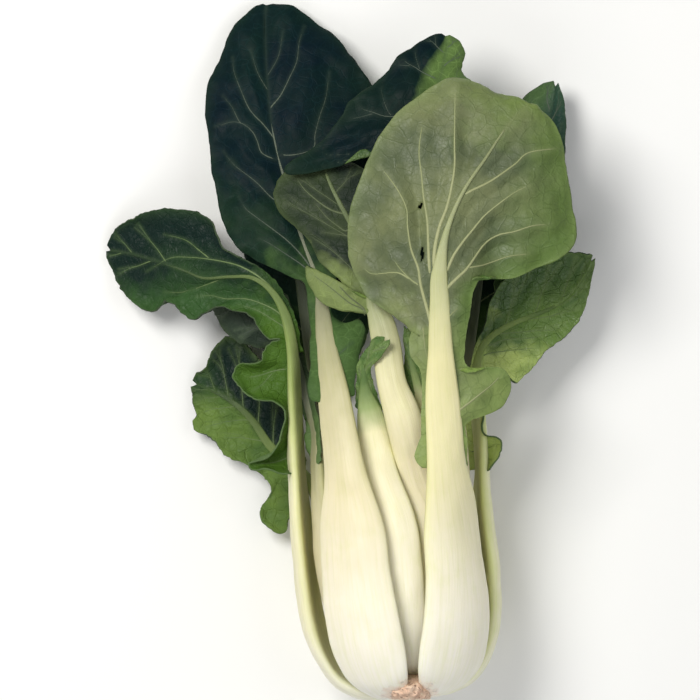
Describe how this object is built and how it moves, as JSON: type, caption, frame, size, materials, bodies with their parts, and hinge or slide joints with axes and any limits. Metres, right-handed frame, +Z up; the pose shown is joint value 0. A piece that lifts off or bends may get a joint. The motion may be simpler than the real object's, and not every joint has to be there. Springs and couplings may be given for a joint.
{
  "type": "bok choy head",
  "caption": "Whole head of bok choy lying on its side: thick white stalks round a short root core, opening into dark and pale green leaf blades.",
  "frame": {"origin": "middle of the head's bounding box, on the table it lies on", "axes": "+Y from the cut root toward the leaf tips, +Z up from the table, +X to the right seen from above"},
  "size_m": [0.2121, 0.3011, 0.078],
  "materials": {
    "stalk": "moist, smooth, creamy white leaf stalk with fine ribs",
    "root": "dry, pinkish brown cut root",
    "pale_blade": "matte olive green back of a leaf with raised pale veins",
    "mid_blade": "satin mid green leaf face with pale veins",
    "dark_blade": "glossy, very dark green leaf face with pale veins"
  },
  "bodies": {
    "root": {"root_core": "root", "front_stalk": "stalk", "front_blade": "pale_blade", "dark_stalk": "stalk", "dark_blade": "dark_blade", "bent_stalk": "stalk", "bent_blade": "pale_blade", "crest_stalk": "stalk", "crest_blade": "dark_blade", "heart_stalk": "stalk", "heart_blade": "mid_blade", "small_stalk": "stalk", "small_blade": "mid_blade", "left_outer_stalk": "stalk", "left_outer_blade": "mid_blade", "left_inner_stalk": "stalk", "left_inner_blade": "pale_blade", "left_low_stalk": "stalk", "left_low_blade": "dark_blade", "right_outer_stalk": "stalk", "right_outer_blade": "mid_blade", "right_inner_stalk": "stalk", "right_inner_blade": "dark_blade", "back_left_stalk": "stalk", "back_left_blade": "dark_blade", "back_right_stalk": "stalk", "back_right_blade": "dark_blade"}
  },
  "joints": []
}
